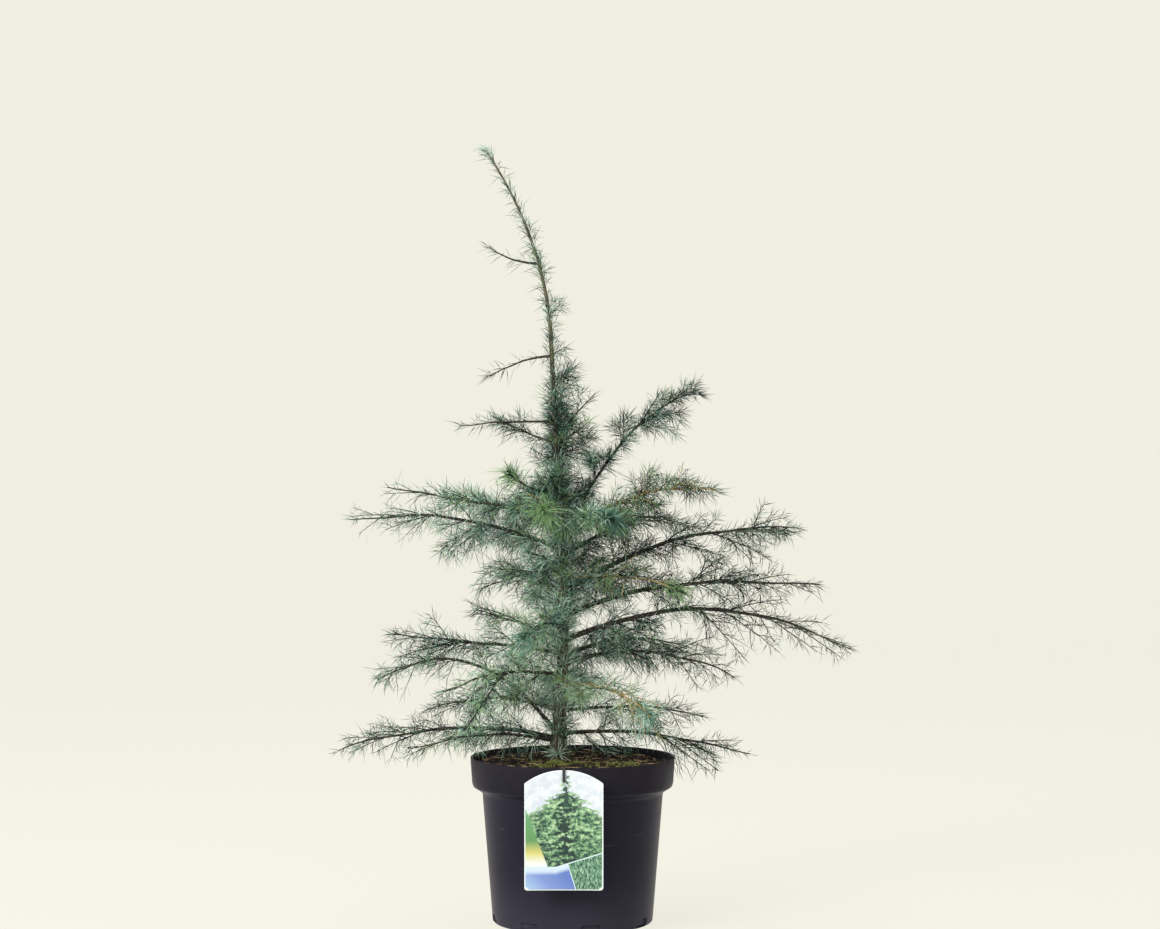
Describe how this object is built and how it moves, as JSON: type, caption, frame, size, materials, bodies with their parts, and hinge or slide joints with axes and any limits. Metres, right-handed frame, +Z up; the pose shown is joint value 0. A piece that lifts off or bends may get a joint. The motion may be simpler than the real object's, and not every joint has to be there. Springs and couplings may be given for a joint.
{
  "type": "potted cedar tree",
  "caption": "Young deodar cedar in a round nursery pot: open crown of long level boughs, nodding leader, blue-green needles, picture label on the rim.",
  "frame": {"origin": "centre of the pot's flat underside", "axes": "+Z up the tree, +X to the right and -Y to the front, where the picture label hangs"},
  "size_m": [0.5833, 0.4007, 0.8519],
  "materials": {
    "pot_plastic": "satin moulded charcoal plastic",
    "hook_plastic": "black plastic strip",
    "label_card": "glossy printed card with a plain picture",
    "potting_soil": "crumbly bark compost with moss and dry needles",
    "bark": "grey-brown young bark, tan on the newest wood",
    "foliage": "soft blue-green needles in rosettes"
  },
  "bodies": {
    "root": {"bough_back_left_low": "bark", "bough_back_low": "bark", "bough_back_mid": "bark", "bough_back_right_low": "bark", "bough_back_right_mid": "bark", "bough_front_left_low": "bark", "bough_front_right_low": "bark", "bough_left_long": "bark", "bough_left_low": "bark", "bough_left_lowest": "bark", "bough_left_upper": "bark", "bough_right_back_low": "bark", "bough_right_front_high": "bark", "bough_right_high": "bark", "bough_right_long": "bark", "bough_right_lowest": "bark", "bough_right_mid": "bark", "bough_right_mid_low": "bark", "foliage_back_high": "foliage", "foliage_back_left_low": "foliage", "foliage_back_left_mid": "foliage", "foliage_back_low": "foliage", "foliage_back_mid": "foliage", "foliage_back_right_low": "foliage", "foliage_back_right_mid": "foliage", "foliage_back_right_top": "foliage", "foliage_front_left_high": "foliage", "foliage_front_left_low": "foliage", "foliage_front_low": "foliage", "foliage_front_mid": "foliage", "foliage_front_right": "foliage", "foliage_front_right_low": "foliage", "foliage_front_right_mid": "foliage", "foliage_leader": "foliage", "foliage_left_back_mid": "foliage", "foliage_left_drooping": "foliage", "foliage_left_drooping_high": "foliage", "foliage_left_front_lowest": "foliage", "foliage_left_high": "foliage", "foliage_left_long": "foliage", "foliage_left_low": "foliage", "foliage_left_lowest": "foliage", "foliage_left_rising": "foliage", "foliage_left_rising_high": "foliage", "foliage_left_top": "foliage", "foliage_left_upper": "foliage", "foliage_right_back_low": "foliage", "foliage_right_back_lowest": "foliage", "foliage_right_front_high": "foliage", "foliage_right_high": "foliage", "foliage_right_long": "foliage", "foliage_right_lowest": "foliage", "foliage_right_mid": "foliage", "foliage_right_mid_low": "foliage", "label": "label_card", "label_hook": "hook_plastic", "pot": "pot_plastic", "soil": "potting_soil", "trunk": "bark"}
  },
  "joints": []
}
